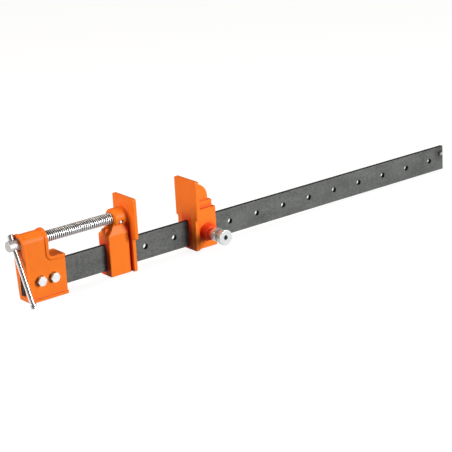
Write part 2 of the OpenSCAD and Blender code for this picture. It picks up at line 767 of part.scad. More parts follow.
// Tail jaw: clamping plate, stepped sleeve, round-backed rib and plunger boss
module tail_jaw() {
    z0 = bar_z0 - tail_web_t;
    mid_top = bar_top + tail_mid_rise;
    color("darkorange")
    difference() {
        union() {
            front(plate_outline(tail_face_w, tail_foot_w, z0, bar_top + tail_step_rise, bar_top + tail_rise),
                tail_x, tail_plate_t);
            block(tail_body_x - over, tail_body_x + tail_body_l, tail_body_w, z0, bar_top + tail_body_rise);
            block(tail_body_x - over, tail_body_x + tail_mid_l, tail_mid_w, bar_top, mid_top);
            side([
                [tail_body_x - over, mid_top - over, 0],
                [tail_body_x + tail_rib_l, mid_top - over, 0],
                [tail_body_x + tail_rib_l, bar_top + tail_rib_rise, tail_rib_r],
                [tail_body_x - over, bar_top + tail_rib_rise, 0]
            ], tail_rib_w);
            turned_s([
                [0, tail_body_w / 2 - over, 0],
                [pin_boss_d / 2, tail_body_w / 2 - over, 0],
                [pin_boss_d / 2, tail_body_w / 2, 0],
                [pin_shoulder_d / 2, shoulder_s, min(pin_shoulder_r, pin_shoulder_d / 2 - spigot_d / 2)],
                [spigot_d / 2, shoulder_s, 0],
                [spigot_d / 2, nose_s, fine_c],
                [0, nose_s, 0]
            ], tail_pin_x, bar_mid);
        }
        bar_slot(slide_side_gap, slide_top_gap, slide_under_gap, tail_x - over, tail_body_x + tail_body_l + over);
        round_s(pin_d + 2 * running_gap, 0, chamber_s + over, tail_pin_x, bar_mid);
        round_s(chamber_d, chamber_s, nose_s + over, tail_pin_x, bar_mid);
    }
}

// Bush that closes the spring chamber and guides the stem
module plunger_bush() {
    color("silver")
    difference() {
        turned_s([
            [0, bush_s, 0],
            [chamber_d / 2 - fit_gap, bush_s, 0],
            [chamber_d / 2 - fit_gap, nose_s, fine_c],
            [0, nose_s, 0]
        ], tail_pin_x, bar_mid);
        round_s(stem_d + 2 * running_gap, bush_s - over, nose_s + over, tail_pin_x, bar_mid);
    }
}

// Plain sleeve in the place of the hidden spring
module plunger_spring() {
    color("gray")
    difference() {
        round_s(spring_d, spring_s, spring_s + spring_l, tail_pin_x, bar_mid);
        round_s(spring_d - 2 * spring_wire, spring_s - over, spring_s + spring_l + over, tail_pin_x, bar_mid);
    }
}

// Index pin with a groove for its clip and a stem for the knob
module index_pin() {
    color("silver")
    turned_s([
        [0, pin_tip_s, 0],
        [pin_d / 2 - pin_tip_c, pin_tip_s, 0],
        [pin_d / 2, pin_tip_s + pin_tip_c, 0],
        [pin_d / 2, clip_s, 0],
        [stem_d / 2, clip_s, 0],
        [stem_d / 2, clip_s + clip_t, 0],
        [pin_d / 2, clip_s + clip_t, 0],
        [pin_d / 2, stem_s, 0],
        [stem_d / 2, stem_s, 0],
        [stem_d / 2, stem_end_s, 0],
        [0, stem_end_s, 0]
    ], tail_pin_x, bar_mid);
}

// Open clip in the pin's groove, the seat of the spring
module pin_clip() {
    color("silver")
    difference() {
        round_s(clip_d, clip_s, clip_s + clip_t, tail_pin_x, bar_mid);
        round_s(stem_d + 2 * fit_gap, clip_s - over, clip_s + clip_t + over, tail_pin_x, bar_mid);
        translate([tail_pin_x - clip_gap / 2, -clip_s - clip_t - over, bar_mid - clip_d])
            cube([clip_gap, clip_t + 2 * over, clip_d]);
    }
}

// Pull knob with a hollow rear rim, a waist and a front flange
module plunger_knob() {
    color("silver")
    difference() {
        turned_s([
            [0, knob_s, 0],
            [knob_rim_d / 2, knob_s, knob_rim_r],
            [knob_rim_d / 2, rim_s, knob_rim_r],
            [knob_waist_d / 2, rim_s + turned_c, turned_c],
            [knob_waist_d / 2, waist_s, turned_c],
            [knob_d / 2, knob_s + knob_l - knob_flange_l, turned_c],
            [knob_d / 2, knob_s + knob_l, knob_flange_r],
            [0, knob_s + knob_l, 0]
        ], tail_pin_x, bar_mid);
        round_s(stem_d + 2 * fit_gap, knob_s - over, knob_s + knob_l + over, tail_pin_x, bar_mid);
        round_s(knob_hollow_d, knob_s - over, hollow_s, tail_pin_x, bar_mid);
    }
}

bar();
bar_stop_pin();
head_casting();
head_bolt_left();
head_bolt_right();
head_washer_left();
head_washer_right();
head_nut_left();
head_nut_right();
spindle();
tommy_bar();
tommy_cap_upper();
tommy_cap_lower();
moving_jaw();
cross_pin();
tail_jaw();
plunger_bush();
plunger_spring();
index_pin();
pin_clip();
plunger_knob();
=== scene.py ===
import json
import math

import bmesh
import bpy
from bpy.props import FloatProperty, FloatVectorProperty, IntProperty, PointerProperty
from mathutils import Matrix, Vector


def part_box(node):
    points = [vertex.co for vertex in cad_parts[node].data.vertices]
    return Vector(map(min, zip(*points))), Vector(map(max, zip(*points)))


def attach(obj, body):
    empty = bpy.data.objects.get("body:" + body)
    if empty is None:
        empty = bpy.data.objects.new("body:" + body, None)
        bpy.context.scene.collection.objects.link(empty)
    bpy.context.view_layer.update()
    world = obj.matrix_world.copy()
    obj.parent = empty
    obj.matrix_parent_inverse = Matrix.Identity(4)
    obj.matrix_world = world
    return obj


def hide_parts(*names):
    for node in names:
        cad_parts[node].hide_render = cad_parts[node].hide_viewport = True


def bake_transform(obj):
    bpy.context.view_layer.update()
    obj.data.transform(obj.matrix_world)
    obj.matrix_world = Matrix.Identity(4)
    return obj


bl_info = {
    "name": "Bar clamp dresser",
    "version": (1, 0, 0),
    "blender": (4, 5, 0),
    "location": "3D View > Sidebar > Bar clamp",
    "description": "Puts the finished surfaces of a screw-driven bar clamp on its packed solids",
    "category": "Object",
}

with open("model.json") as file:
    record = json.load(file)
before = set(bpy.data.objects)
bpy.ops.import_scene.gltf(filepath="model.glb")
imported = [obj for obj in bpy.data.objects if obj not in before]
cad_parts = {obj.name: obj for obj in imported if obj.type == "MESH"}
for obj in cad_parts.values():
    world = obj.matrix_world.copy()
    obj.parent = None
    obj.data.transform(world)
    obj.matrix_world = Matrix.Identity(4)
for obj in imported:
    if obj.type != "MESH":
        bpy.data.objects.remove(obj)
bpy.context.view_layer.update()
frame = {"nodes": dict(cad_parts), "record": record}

MM = 0.001
AXIS_X = Vector((1, 0, 0))
AXIS_Z = Vector((0, 0, 1))
TOWARDS_KNOB = Vector((0, -1, 0))
SCREW_HEAD = 14.0  # length of the screw's plain head, in millimetres


def low(node):
    """Lowest corner of a node, in millimetres."""
    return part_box(node)[0] / MM


def high(node):
    """Highest corner of a node, in millimetres."""
    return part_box(node)[1] / MM


def middle(node):
    """Middle of a node, in millimetres."""
    return (low(node) + high(node)) / 2


# Sizes and colours that a user may change


def length(name, description, default, lowest, highest):
    """A length property, given in millimetres."""
    return FloatProperty(name=name, description=description, default=default * MM,
                         min=lowest * MM, max=highest * MM, unit="LENGTH", precision=5)


def angle(name, description, default):
    """An angle property, given in degrees."""
    return FloatProperty(name=name, description=description, default=math.radians(default),
                         subtype="ANGLE")


def power(name, description, default):
    """A light's power, in watts."""
    return FloatProperty(name=name, description=description, default=default, min=0,
                         unit="POWER")


def share(name, description, default):
    """A property from 0 to 1."""
    return FloatProperty(name=name, description=description, default=default, min=0, max=1,
                         subtype="FACTOR")


def colour(name, description, default):
    """A colour property."""
    return FloatVectorProperty(name=name, description=description, default=default, size=3,
                               min=0, max=1, subtype="COLOR")


class ClampSizes(bpy.types.PropertyGroup):
    """Sizes that the visual model adds to the solids"""

    skin_cell: length("Skin cell", "Cell size of the castings' even skin", 0.5, 0.25, 1.5)
    skin_passes: IntProperty(
        name="Skin passes", description="Smoothing passes that round the castings' edges",
        default=4, min=0, max=40)
    bar_edge: length("Bar edge", "Rounding of the rolled bar's long edges", 0.7, 0.1, 1.5)
    hole_edge: length("Hole edge", "Bevel at the mouth of each punched hole", 0.25, 0.05, 0.8)
    hole_d: length("Index hole", "Diameter of an index hole", 8.0, 6, 12)
    hole_pitch: length("Hole pitch", "Distance from one index hole to the next", 50.8, 30, 80)
    thread_pitch: length("Thread pitch", "Pitch of the clamp screw's thread", 3.175, 1.5, 5)
    thread_depth: length("Thread depth", "Depth of the clamp screw's thread", 1.5875, 0.5, 2.5)
    hex_width: length("Hex width", "Width of bolt heads and nuts across flats", 12.7, 8, 16)
    bolt_d: length("Bolt", "Diameter of the head's bolts", 7.94, 5, 10)
    spring_wire: length("Spring wire", "Diameter of the plunger spring's wire", 1.0, 0.5, 1.3)


class ClampColours(bpy.types.PropertyGroup):
    """Colours and finish of the clamp"""

    enamel: colour("Enamel", "Orange enamel on the castings", (0.875, 0.187, 0.013))
    enamel_deep: colour("Deep enamel", "Enamel where it has run thick", (0.84, 0.145, 0.011))
    # Painted shade: this redder, darker enamel is drawn in inner corners and beside the bar where
    # shade falls, not where enamel pools.
    enamel_painted_shade: colour(
        "Crease enamel", "Enamel in the inner corners, where it pools", (0.76, 0.04, 0.01))
    # Painted shade: the plunger boss lies in the knob's shadow and is drawn in redder enamel.
    enamel_boss_shade: colour(
        "Boss enamel", "Enamel on the plunger boss, redder than the rest", (1.0, 0.062, 0.018))
    enamel_gloss: share("Enamel roughness", "Roughness of the enamel", 0.42)
    scale_light: colour(
        "Light scale", "Light patches of the bar's mill scale", (0.118, 0.123, 0.120))
    scale_dark: colour(
        "Dark scale", "Dark patches of the bar's mill scale", (0.038, 0.041, 0.040))
    zinc: colour("Zinc", "Zinc plate on the bolts and the screw", (0.68, 0.69, 0.70))
    # Painted shade: near-black tone for the thread's roots, which lie in shade between the
    # crests.
    thread_root_shade: colour("Grease", "Grease in the roots of the screw's thread", (0.035, 0.035, 0.037))
    bright: colour("Bright steel", "Turned steel of tommy bar and bush", (0.82, 0.82, 0.82))
    grey_pin: colour("Grey pin", "Steel of the moving jaw's cross pin", (0.5, 0.5, 0.51))
    dull_pin: colour("Dull pin", "Steel of the bar's stop pin", (0.26, 0.26, 0.262))
    black_pin: colour("Blackened pin", "Steel of the index pin", (0.13, 0.13, 0.132))
    dull: colour("Spring steel", "Oiled spring steel", (0.30, 0.31, 0.32))
    nickel: colour("Knob plate", "Plated surface of the pull knob", (0.605, 0.63, 0.635))


class ClampStudio(bpy.types.PropertyGroup):
    """Floor, lights and camera"""

    focal: length("Focal length", "Focal length of the camera", 137.318, 20, 400)
    azimuth: angle("Azimuth", "Direction of the view round the clamp", 37.341)
    elevation: angle("Elevation", "Height of the view over the clamp", 18.578)
    roll: angle("Roll", "Roll of the camera", -3.126)
    distance: length("Distance", "Distance of the camera", 2518.132, 500, 6000)
    key_power: power("Key light", "Power of the key light", 98.0)
    side_power: power("Side light", "Power of the light behind the head", 71.0)
    top_power: power("Top light", "Power of the top light", 7.0)
    surround: colour("Surround", "Colour of the light from all round", (0.85, 0.87, 0.9))
    surround_level: share("Surround level", "Strength of the light from all round", 0.14)
    floor_tone: colour("Floor", "Colour of the pale floor", (0.22, 0.22, 0.22))


# Shader maths

MIX_FIRST, MIX_SECOND, MIX_RESULT = 6, 7, 2  # colour sockets of a Mix node


class Value:
    """A number in a node tree; its operators add Math nodes."""

    def __init__(self, tree, socket):
        self.tree = tree
        self.socket = socket

    def maths(self, operation, *others):
        """A Math node on this number and others, in that order."""
        return add_node(self.tree, "ShaderNodeMath", {"operation": operation},
                        [self, *others])

    def after(self, operation, first):
        """A Math node on first and then this number."""
        return add_node(self.tree, "ShaderNodeMath", {"operation": operation}, [first, self])

    def __add__(self, other):
        return self.maths("ADD", other)

    def __radd__(self, other):
        return self.after("ADD", other)

    def __sub__(self, other):
        return self.maths("SUBTRACT", other)

    def __rsub__(self, other):
        return self.after("SUBTRACT", other)

    def __mul__(self, other):
        return self.maths("MULTIPLY", other)

    def __rmul__(self, other):
        return self.after("MULTIPLY", other)

    def step(self, start, end):
        """0 below start, 1 above end, and smooth between them."""
        return add_node(self.tree, "ShaderNodeMapRange", {"interpolation_type": "SMOOTHSTEP"},
                        [self, start, end, 0.0, 1.0])


def add_node(tree, kind, settings, values=(), output=0):
    """Adds a node of a kind: its settings first, then the values or links of its sockets."""
    node = tree.nodes.new(kind)
    for name, value in settings.items():
        setattr(node, name, value)
    pairs = values.items() if isinstance(values, dict) else enumerate(values)
    for key, value in pairs:
        if isinstance(value, Value):
            tree.links.new(value.socket, node.inputs[key])
        elif value is not None:
            node.inputs[key].default_value = value
    return Value(tree, node.outputs[output])


class Finish:
    """A material for one of the clamp's finishes, made round a Principled shader."""

    def __init__(self, name, **constants):
        self.material = bpy.data.materials.new(name)
        self.material.use_nodes = True
        self.tree = self.material.node_tree
        self.shader = self.tree.nodes["Principled BSDF"]
        for socket, value in constants.items():
            self.shader.inputs[socket.replace("_", " ")].default_value = value
        self.place = self.node("ShaderNodeTexCoord", {}, output="Object")

    def node(self, kind, settings, values=(), output=0):
        """Any node of this material's tree."""
        return add_node(self.tree, kind, settings, values, output)

    def noise(self, scale, detail=2.0, stretch=(1.0, 1.0, 1.0), roughness=0.5):
        """Noise in the clamp's own frame, with its number of cells to the metre."""
        place = self.node("ShaderNodeVectorMath", {"operation": "MULTIPLY"},
                          [self.place, stretch])
        return self.node("ShaderNodeTexNoise", {"noise_dimensions": "3D"},
                         {"Vector": place, "Scale": scale, "Detail": detail,
                          "Roughness": roughness})

    def along(self, axis):
        """Place along an axis of the clamp, in metres."""
        return self.node("ShaderNodeSeparateXYZ", {}, [self.place], "XYZ".index(axis))

    def radius(self, centre, axis):
        """Distance from the line through centre that runs along an axis of the clamp."""
        away = self.node("ShaderNodeVectorMath", {"operation": "SUBTRACT"},
                         [self.place, tuple(centre)])
        flat = self.node("ShaderNodeVectorMath", {"operation": "MULTIPLY"},
                         [away, tuple(0.0 if letter == axis else 1.0 for letter in "XYZ")])
        return self.node("ShaderNodeVectorMath", {"operation": "LENGTH"}, [flat], "Value")

    def open_air(self, reach):
        """1 on open surface and less in inner corners, looking reach millimetres far; it is used
        to paint shade into the enamel's corners.
        """
        return self.node("ShaderNodeAmbientOcclusion", {"samples": 12, "only_local": True},
                         {"Distance": reach * MM}, "AO")

    def blend(self, amount, first, second):
        """First colour where amount is 0, and second where it is 1."""
        return self.node("ShaderNodeMix", {"data_type": "RGBA"},
                         {"Factor": amount, MIX_FIRST: self.four(first),
                          MIX_SECOND: self.four(second)}, MIX_RESULT)

    def tint(self, tone, strength):
        """Tone made lighter or darker by a number near 1."""
        grey = self.node("ShaderNodeCombineColor", {}, [strength, strength, strength])
        return self.node("ShaderNodeMix", {"data_type": "RGBA", "blend_type": "MULTIPLY"},
                         {"Factor": 1.0, MIX_FIRST: self.four(tone), MIX_SECOND: grey},
                         MIX_RESULT)

    @staticmethod
    def four(tone):
        """A colour with its fourth value."""
        return tone if isinstance(tone, Value) else (*tone, 1.0)

    def bump(self, height, depth, strength, under=None):
        """Surface relief: height from 0 to 1 over a depth in millimetres, on another relief."""
        return self.node("ShaderNodeBump", {},
                         {"Strength": strength, "Distance": depth * MM, "Height": height,
                          "Normal": under})

    def feed(self, **links):
        """Links what varies over the surface to the shader."""
        for socket, value in links.items():
            self.tree.links.new(value.socket, self.shader.inputs[socket.replace("_", " ")])
        return self.material


# Finishes

# Painted contact shadow, with some dirt: thin dark rings round the bolts and the cross pin.
DIRT_AND_SHADOW_RINGS = (  # node, start and end of its dark ring outside the metal in mm, and its darkness
    ("cross_pin", 0.7, 1.6, 0.85),
    ("head_bolt_left", 0.3, 0.9, 0.45),
    ("head_bolt_right", 0.3, 0.9, 0.45),
)


def dirt_and_shadow_ring(made, node, inner, outer, depth):
    """1 away from a pin or bolt along Y, and less by depth in a thin line round it: painted
    contact shadow with some dirt.
    """
    reach = (high(node).x - middle(node).x) * MM
    away = made.radius(middle(node) * MM, "Y")
    return away.step(reach + inner * MM, reach + outer * MM) * depth + (1.0 - depth)


def off_slots(made):
    """0 on the jaws close to the bar, where their slots lie in shade, and 1 elsewhere."""
    bar = high("bar") * MM
    head_end = high("head_casting").x * MM
    beside = made.along("Y").maths("ABSOLUTE").step(bar.y + 6 * MM, bar.y + 9.5 * MM)
    above = made.along("Z").step(bar.z, bar.z + 16 * MM)
    on_head = 1.0 - made.along("X").step(head_end, head_end + 2 * MM)
    return beside.maths("MAXIMUM", above).maths("MAXIMUM", on_head)


def off_boss(made):
    """0 on the boss that holds the plunger, in front of the tail jaw, where shade is painted, and
    1 elsewhere.
    """
    away = made.radius(middle("plunger_knob") * MM, "Y").step(12.0 * MM, 13.4 * MM)
    return away.maths("MAXIMUM", made.along("Y").step(-17.2 * MM, -16.2 * MM))


def enamel_finish(name, colours):
    """Semi-gloss enamel over sand-cast iron, with painted shade: redder in the corners and shaded
    places.
    """
    made = Finish(name, Coat_Weight=0.03, Coat_Roughness=0.22, Specular_IOR_Level=0.12)
    runs = made.noise(38.0, 3.0)
    casting = made.noise(260.0, 3.0)
    peel = made.noise(1100.0, 1.0)
    dust = made.noise(2600.0, 2.0).step(0.62, 0.8)
    tone = made.blend(runs.step(0.35, 0.75) * 0.22, colours.enamel, colours.enamel_deep)
    tone = made.tint(tone, 0.985 + casting * 0.05 - dust * 0.05)
    # Painted shade: redder, darker enamel in inner corners, round the bar at the jaws' slots and
    # on the plunger boss.
    tone = made.blend(made.open_air(8.0).step(0.45, 0.98), colours.enamel_painted_shade, tone)
    tone = made.blend(off_slots(made) * 0.85 + 0.15, colours.enamel_painted_shade, tone)
    tone = made.blend(off_boss(made) * 0.85 + 0.15, colours.enamel_boss_shade, tone)
    # Painted contact shadow, with some dirt, round the bolts and the cross pin.
    for node, inner, outer, depth in DIRT_AND_SHADOW_RINGS:
        tone = made.tint(tone, dirt_and_shadow_ring(made, node, inner, outer, depth))
    relief = made.bump(runs, 1.1, 0.55)
    relief = made.bump(casting, 0.22, 0.5, relief)
    relief = made.bump(peel, 0.03, 0.6, relief)
    rough = colours.enamel_gloss - 0.05 + casting * 0.12 + dust * 0.1
    return made.feed(Base_Color=tone, Roughness=rough, Normal=relief)


def stop_dirt_and_shadow(made):
    """1 on the open bar and less round the stop pin: a dark ring in a wider dull patch, painted
    contact shadow and dirt.
    """
    pin = middle("bar_stop_pin")
    edge = (high("bar_stop_pin").x - pin.x) * MM
    away = made.radius(pin * MM, "Y")
    ring = away.step(edge + 0.3 * MM, edge + 2.4 * MM) * 0.88 + 0.12
    patch = away.step(edge + 3 * MM, edge + 14 * MM) * 0.38 + 0.62
    return ring * patch


def scale_finish(name, colours):
    """Mottled mill scale on hot-rolled flat bar, dull inside its holes, and dark there and on its
    long edges by painted shade.
    """
    made = Finish(name)
    broad = made.noise(13.0, 2.0, (0.8, 1.0, 2.0))
    cloud = made.noise(55.0, 4.0, (0.45, 1.0, 1.0), 0.62)
    mottle = made.noise(330.0, 4.0, (0.6, 1.0, 1.0), 0.7)
    speck = made.noise(1300.0, 2.0)
    flake = made.noise(620.0, 3.0, (0.8, 1.0, 1.0), 0.6).step(0.56, 0.7)
    scratch = made.noise(420.0, 2.0, (0.06, 1.0, 1.0)).step(0.66, 0.72)
    patches = (cloud * 0.45 + mottle * 0.75 - 0.1).step(0.3, 0.72)
    tone = made.blend(patches, colours.scale_dark, colours.scale_light)
    half = high("bar").y * MM
    side = made.along("Y").maths("ABSOLUTE").step(half - 0.9 * MM, half - 0.3 * MM)
    worn = 0.6 + broad * 0.45 + speck * 0.3 + scratch * 0.22 + flake * 0.4
    # Painted shade: the long edges and the hole walls keep only 7% of the tone.
    tone = made.tint(tone, worn * (side * 0.93 + 0.07) * stop_dirt_and_shadow(made))
    relief = made.bump(mottle, 0.16, 0.6)
    relief = made.bump(speck, 0.04, 0.5, relief)
    rough = 0.8 + patches * 0.2 + speck * 0.12 - side * 0.38
    metal = (0.35 + patches * 0.25) * side
    return made.feed(Base_Color=tone, Roughness=rough, Metallic=metal, Normal=relief)


def zinc_finish(name, colours):
    """Bright zinc plate with a faint spangle."""
    made = Finish(name, Metallic=1.0)
    spangle = made.node("ShaderNodeTexVoronoi", {"feature": "F1"},
                        {"Vector": made.place, "Scale": 900.0})
    haze = made.noise(240.0, 3.0)
    tone = made.tint(colours.zinc, 0.9 + haze * 0.16 - spangle * 0.05)
    relief = made.bump(haze, 0.05, 0.4)
    rough = 0.2 + haze * 0.16 + spangle * 0.05
    return made.feed(Base_Color=tone, Roughness=rough, Normal=relief)


def thread_finish(name, colours):
    """Zinc plate on the screw, with the rolls' lines and painted shade that darkens the roots."""
    made = Finish(name, Metallic=1.0)
    haze = made.noise(190.0, 3.0)
    lines = made.noise(900.0, 2.0, (3.0, 0.3, 0.3))
    crest = high("spindle").y * MM
    head_end = (low("spindle").x + SCREW_HEAD) * MM
    head = 1.0 - made.along("X").step(head_end - 0.4 * MM, head_end + 0.2 * MM)
    off_root = made.radius(middle("spindle") * MM, "X").step(crest - 1.55 * MM,
                                                             crest - 0.35 * MM)
    crest_or_head = off_root.maths("MAXIMUM", head)
    # Painted shade: the roots of the thread are drawn near black.
    tone = made.blend(crest_or_head, colours.thread_root_shade, colours.zinc)
    tone = made.tint(tone, 0.86 + haze * 0.2 + lines * 0.06 - head * 0.26)
    relief = made.bump(lines, 0.03, 0.5)
    rough = 0.5 + haze * 0.16 - crest_or_head * 0.2 + head * 0.2
    return made.feed(Base_Color=tone, Roughness=rough, Normal=relief)


def tool_lines(made, across):
    """Fine tool lines across an axis of the clamp."""
    return made.noise(5200.0, 1.0, tuple(1.0 if axis == across else 0.02 for axis in "XYZ"))


def turned_surface(made, tone, lines, rough):
    """Feeds a turned surface with its tone, tool lines and roughness."""
    haze = made.noise(150.0, 3.0)
    shade = made.tint(tone, 0.93 + haze * 0.1 + lines * 0.03)
    return made.feed(Base_Color=shade, Roughness=rough - 0.04 + haze * 0.1 + lines * 0.05,
                     Normal=made.bump(lines, 0.01, 0.5))


def turned_finish(name, tone, across, rough):
    """Turned steel."""
    made = Finish(name, Metallic=1.0)
    return turned_surface(made, tone, tool_lines(made, across), rough)


def knob_finish(name, colours):
    """Plated turned knob: rings on its face, and painted shade that makes its waist darker and
    its hole dark.
    """
    made = Finish(name, Metallic=0.6)
    ring_pitch = 0.35 * MM
    away = made.radius(middle("plunger_knob") * MM, "Y")
    rings = (away * (math.tau / ring_pitch)).maths("SINE")
    lines = tool_lines(made, "Y") * 0.6 + rings * 0.2 + 0.2
    face = low("plunger_knob").y * MM
    behind = made.along("Y").step(face + 2.0 * MM, face + 6.0 * MM)
    # Painted shade: the waist behind the flange and the wall of the hole are drawn darker.
    waist = (1.0 - away.step(8.4 * MM, 9.9 * MM)) * behind
    hole = away.step(3.0 * MM, 3.5 * MM) * 0.6 + 0.4
    tone = made.tint(colours.nickel, hole * (1.0 - waist * 0.45))
    return turned_surface(made, tone, lines, 0.24)


def spring_finish(name, colours):
    """Oiled spring steel."""
    made = Finish(name, Metallic=1.0)
    oil = made.noise(320.0, 3.0)
    drawn = made.noise(2400.0, 2.0)
    shade = made.tint(colours.dull, 0.75 + oil * 0.3 + drawn * 0.12)
    relief = made.bump(drawn, 0.01, 0.5)
    return made.feed(Base_Color=shade, Roughness=0.25 + oil * 0.2, Normal=relief)


def finish(name):
    """The named finish, made the first time it is asked for."""
    known = bpy.data.materials.get(name)
    if known:
        return known
    colours = bpy.context.scene.clamp_colours
    makers = {
        "Orange enamel": (enamel_finish, colours),
        "Mill scale": (scale_finish, colours),
        "Zinc plate": (zinc_finish, colours),
        "Rolled thread": (thread_finish, colours),
        "Knob plate": (knob_finish, colours),
        "Spring steel": (spring_finish, colours),
        "Turned pin": (turned_finish, colours.bright, "Y", 0.22),
        "Drawn rod": (turned_finish, colours.bright, "X", 0.2),
        "Blackened pin": (turned_finish, colours.black_pin, "Y", 0.45),
        "Grey pin": (turned_finish, colours.grey_pin, "Y", 0.4),
        "Dull pin": (turned_finish, colours.dull_pin, "Y", 0.45),
    }
    maker, *values = makers[name]
    return maker(name, *values)


# Shapes


def rounded(points, steps=5, closed=False):
    """Line through points (across, along, corner radius), with each such corner an arc."""
    line = []
    count = len(points)
    for i, (across, along, r) in enumerate(points):
        corner = Vector((across, along))
        if r <= 0 or (not closed and i in (0, count - 1)):
            line.append(corner)
            continue
        back = (Vector(points[i - 1][:2]) - corner).normalized()
        ahead = (Vector(points[(i + 1) % count][:2]) - corner).normalized()
        half = back.angle(ahead) / 2
        reach = r / math.tan(half)
        hub = corner + (back + ahead).normalized() * r / math.sin(half)
        first = corner + back * reach - hub
        sweep = first.angle_signed(corner + ahead * reach - hub)
        line += [hub + Matrix.Rotation(-sweep * k / steps, 2) @ first
                 for k in range(steps + 1)]
    return line


def circle(sides):
    """Angles all round, evenly spaced."""
    return [math.tau * k / sides for k in range(sides)]


def about_y(place, r, a, y):
    """The point at radius r and angle a round the line along Y through place."""
    return place.x + r * math.cos(a), y, place.z + r * math.sin(a)


def mesh_from(name, bm):
    """A mesh from bm, which is freed."""
    mesh = bpy.data.meshes.new(name)
    bm.to_mesh(mesh)
    bm.free()
    return mesh


def put(name, data):
    """A new object in the scene."""
    made = bpy.data.objects.new(name, data)
    bpy.context.scene.collection.objects.link(made)
    return made


def skin(name, bm, crease=32.0):
    """A new object from bm, in millimetres, smooth but for edges sharper than crease degrees."""
    bmesh.ops.remove_doubles(bm, verts=bm.verts, dist=1e-4)
    bmesh.ops.recalc_face_normals(bm, faces=bm.faces)
    bm.transform(Matrix.Scale(MM, 4))
    mesh = mesh_from(name, bm)
    mesh.shade_smooth()
    mesh.set_sharp_from_angle(angle=math.radians(crease))
    return put(name, mesh)


def even_normals(made):
    """Keeps flat faces flat beside their rounded edges."""
    modifier = made.modifiers.new("Even normals", "WEIGHTED_NORMAL")
    modifier.keep_sharp = True
    modifier.weight = 80
    return made


def bridge(bm, rows, around=True):
    """Quads between neighbouring rows of points; around closes each row on itself."""
    made = [[bm.verts.new(point) for point in row] for row in rows]
    count = len(made[0])
    for lower, upper in zip(made, made[1:]):
        for k in range(count if around else count - 1):
            n = (k + 1) % count
            bm.faces.new((lower[k], lower[n], upper[n], upper[k]))
    return made


def cap_ends(bm, rows):
    """Closes the first and the last of bridged rows."""
    bm.faces.new(rows[0])
    bm.faces.new(rows[-1])


def turn_about(bm, line, start, axis, sides=72):
    """Turns a line of (radius, place) about an axis through start."""
    stand = axis.to_track_quat("Z", "Y")
    return bridge(bm, [[start + stand @ Vector((r * math.cos(a), r * math.sin(a), along))
                        for a in circle(sides)] for r, along in line])


def turned(name, points, start, axis, sides=72, hollow=False):
    """A piece turned about an axis, from points (radius, place along the axis, corner radius)."""
    bm = bmesh.new()
    line = rounded(points, closed=hollow)
    if hollow:
        line.append(line[0])
    turn_about(bm, line, start, axis, sides)
    return even_normals(skin(name, bm))


def split_ring(name, place, radii, levels, round_off, opening, half_gap, slant=0.0):
    """Ring about Y, inner and outer radius, between two levels, with a gap at the angle opening.

    half_gap gives half the gap's angle at a radius, and slant is the turn of the gap's sides
    for each millimetre along Y.
    """
    (inner, outer), (back, front) = radii, levels
    section = rounded([(inner, back, round_off), (outer, back, round_off),
                       (outer, front, round_off), (inner, front, round_off)], 3, True)
    steps = 60
    rows = []
    for k in range(steps + 1):
        row = []
        for r, y in section:
            half = half_gap(r)
            a = opening + half + (math.tau - 2 * half) * k / steps + slant * (y - place.y)
            row.append(about_y(place, r, a, y))
        rows.append(row)
    bm = bmesh.new()
    cap_ends(bm, bridge(bm, rows))
    return even_normals(skin(name, bm))


def settle(made):
    """Applies a piece's modifiers to its mesh."""
    seen = made.evaluated_get(bpy.context.evaluated_depsgraph_get())
    mesh = bpy.data.meshes.new_from_object(seen)
    made.modifiers.clear()
    old = made.data
    made.data = mesh
    bpy.data.meshes.remove(old)


def cut_with(made, cutter):
    """Cuts one piece out of another and deletes it."""
    modifier = made.modifiers.new("Cut", "BOOLEAN")
    modifier.operation = "DIFFERENCE"
    modifier.solver = "EXACT"
    modifier.object = cutter
    settle(made)
    bpy.data.objects.remove(cutter)


def soften(made, width):
    """Breaks the sharp edges of a piece, by a width in millimetres."""
    modifier = made.modifiers.new("Broken edges", "BEVEL")
    modifier.width = width * MM
    modifier.segments = 2
    modifier.limit_method = "ANGLE"
    modifier.angle_limit = math.radians(40)
    modifier.use_clamp_overlap = True
    settle(made)
    made.data.shade_smooth()
    made.data.set_sharp_from_angle(angle=math.radians(35))


def join(name, parts):
    """One object from several, which are deleted."""
    bm = bmesh.new()
    for part in parts:
        bm.from_mesh(part.data)
    made = put(name, mesh_from(name, bm))
    for part in parts:
        bpy.data.objects.remove(part)
    return even_normals(made)


def dress(made, body, slot, finish_name, *nodes):
    """Puts a finished piece on its body, in the place of the nodes it stands for."""
    made.data.materials.clear()
    made.data.materials.append(finish(finish_name))
    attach(made, body)
    if nodes:
        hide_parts(*nodes)
    return made


def coat(node, finish_name):
    """Gives a node that keeps its own solid a finish."""
    held = frame["nodes"][node].data
    held.materials.clear()
    held.materials.append(finish(finish_name))


# Castings


class ClampCastings(bpy.types.Operator):
    """Head, moving jaw and tail jaw with the soft edges and inner corners of sand castings"""

    bl_idname = "clamp.castings"
    bl_label = "Castings"

    QUICK_CELL = 2
    KEPT_FACES = 0.45  # share of the skin's faces that stay

    def execute(self, context):
        sizes = context.scene.clamp_sizes
        cell = sizes.skin_cell * 1
        for node, body, name in (("head_casting", "frame", "cast_head"),
                                 ("moving_jaw", "moving_jaw_body", "cast_moving_jaw"),
                                 ("tail_jaw", "tail_jaw_body", "cast_tail_jaw")):
            made = put(name, frame["nodes"][node].data.copy())
            even = made.modifiers.new("Even skin", "REMESH")
            even.mode = "VOXEL"
            even.voxel_size = cell
            even.use_smooth_shade = True
            soft = made.modifiers.new("Soft edges", "SMOOTH")
            soft.factor = 0.5
            soft.iterations = sizes.skin_passes
            light = made.modifiers.new("Lighter skin", "DECIMATE")
            light.ratio = self.KEPT_FACES
            settle(made)
            made.data.shade_smooth()
            dress(even_normals(made), body, "orange_enamel", "Orange enamel", node)
        return {"FINISHED"}


# Bar


